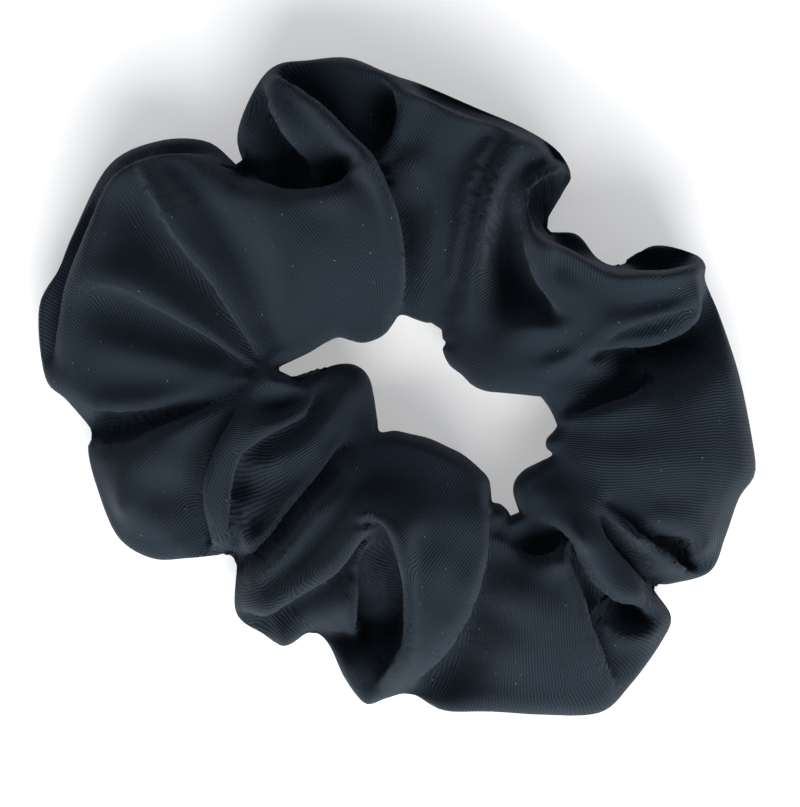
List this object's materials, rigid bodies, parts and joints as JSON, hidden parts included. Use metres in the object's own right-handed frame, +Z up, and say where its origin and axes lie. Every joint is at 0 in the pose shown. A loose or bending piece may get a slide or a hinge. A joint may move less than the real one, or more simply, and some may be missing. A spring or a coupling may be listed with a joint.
{
  "type": "scrunchie",
  "caption": "Gathered black twill hair tie: a cloth tube over a sewn loop of flat elastic, which stretches to pass over hair and springs back to hold it.",
  "frame": {"origin": "centre of the resting outline, on the surface that the scrunchie lies on", "axes": "+X along the hair opening's long axis, away from the closing seam; +Y across it; +Z up, through the opening"},
  "size_m": [0.1214, 0.098, 0.033],
  "materials": {
    "twill": "soft satin twill, near-black navy",
    "braided_elastic": "matte braid",
    "sewing_thread": "matte spun polyester"
  },
  "bodies": {
    "seam_end": {"cover_left": "twill", "elastic_left": "braided_elastic", "elastic_join_stitching": "sewing_thread", "long_seam_left": "sewing_thread", "closing_seam": "sewing_thread"},
    "far_end": {"cover_right": "twill", "elastic_right": "braided_elastic", "long_seam_right": "sewing_thread"}
  },
  "joints": [
    {"name": "stretch", "type": "slide", "parent": "seam_end", "child": "far_end", "axis": [1, 0, 0], "range_m": [0, 0.06], "stiffness_N_per_m": 130}
  ]
}
